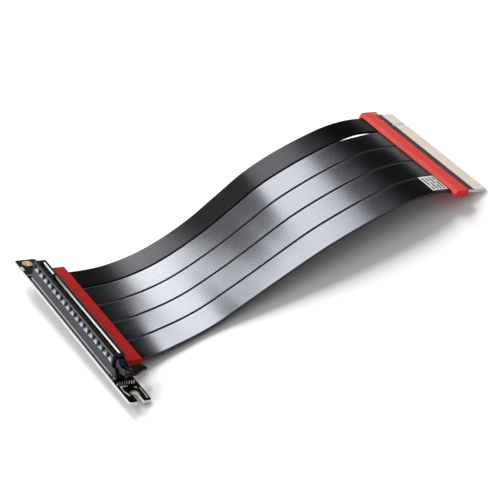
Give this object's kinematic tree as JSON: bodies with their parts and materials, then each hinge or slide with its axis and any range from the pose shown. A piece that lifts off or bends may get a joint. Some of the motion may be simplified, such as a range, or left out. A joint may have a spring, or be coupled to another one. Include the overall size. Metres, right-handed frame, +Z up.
{
  "type": "gpu riser cable",
  "caption": "Sixteen-lane graphics-card riser cable: a slot with a latch on a small board, five flat shielded ribbons in a lazy wave, and an edge connector with gold fingers.",
  "frame": {"origin": "centre of the underside of the part's bounding box, on the surface it lies on", "axes": "+X from the slot board to the edge connector, along the cable; +Y along the slot, from its latch end to its plain end; +Z up from the table"},
  "size_m": [0.2092, 0.1313, 0.0213],
  "materials": {
    "solder_mask": "black solder mask over glass fibre board",
    "gold_plating": "hard gold plating, smooth",
    "housing_plastic": "black moulded high-temperature plastic",
    "latch_plastic": "black moulded nylon, slightly glossy",
    "red_relief": "red overmoulded elastomer, satin",
    "ribbon_jacket": "dark grey shielded ribbon jacket with fine lengthwise ridges",
    "white_label": "white self-adhesive label"
  },
  "bodies": {
    "riser": {"slot_board": "solder_mask", "board_hole_plating": "gold_plating", "board_notch_plating": "gold_plating", "slot_housing": "housing_plastic", "contacts_left_long": "gold_plating", "contacts_left_short": "gold_plating", "contacts_right_long": "gold_plating", "contacts_right_short": "gold_plating", "slot_strain_relief": "red_relief", "ribbon_1": "ribbon_jacket", "ribbon_2": "ribbon_jacket", "ribbon_3": "ribbon_jacket", "ribbon_4": "ribbon_jacket", "ribbon_5": "ribbon_jacket", "label": "white_label", "edge_strain_relief": "red_relief", "edge_board": "solder_mask", "edge_hole_plating": "gold_plating", "fingers_top_long": "gold_plating", "fingers_top_short": "gold_plating", "fingers_bottom_long": "gold_plating", "fingers_bottom_short": "gold_plating"},
    "latch": {"retention_latch": "latch_plastic"}
  },
  "joints": [
    {"name": "latch_pivot", "type": "hinge", "parent": "riser", "child": "latch", "pos_m": [-0.09974, -0.04674, 0.00781], "axis": [0.9166, 0.0193, -0.3994], "range_deg": [0, 25]}
  ]
}
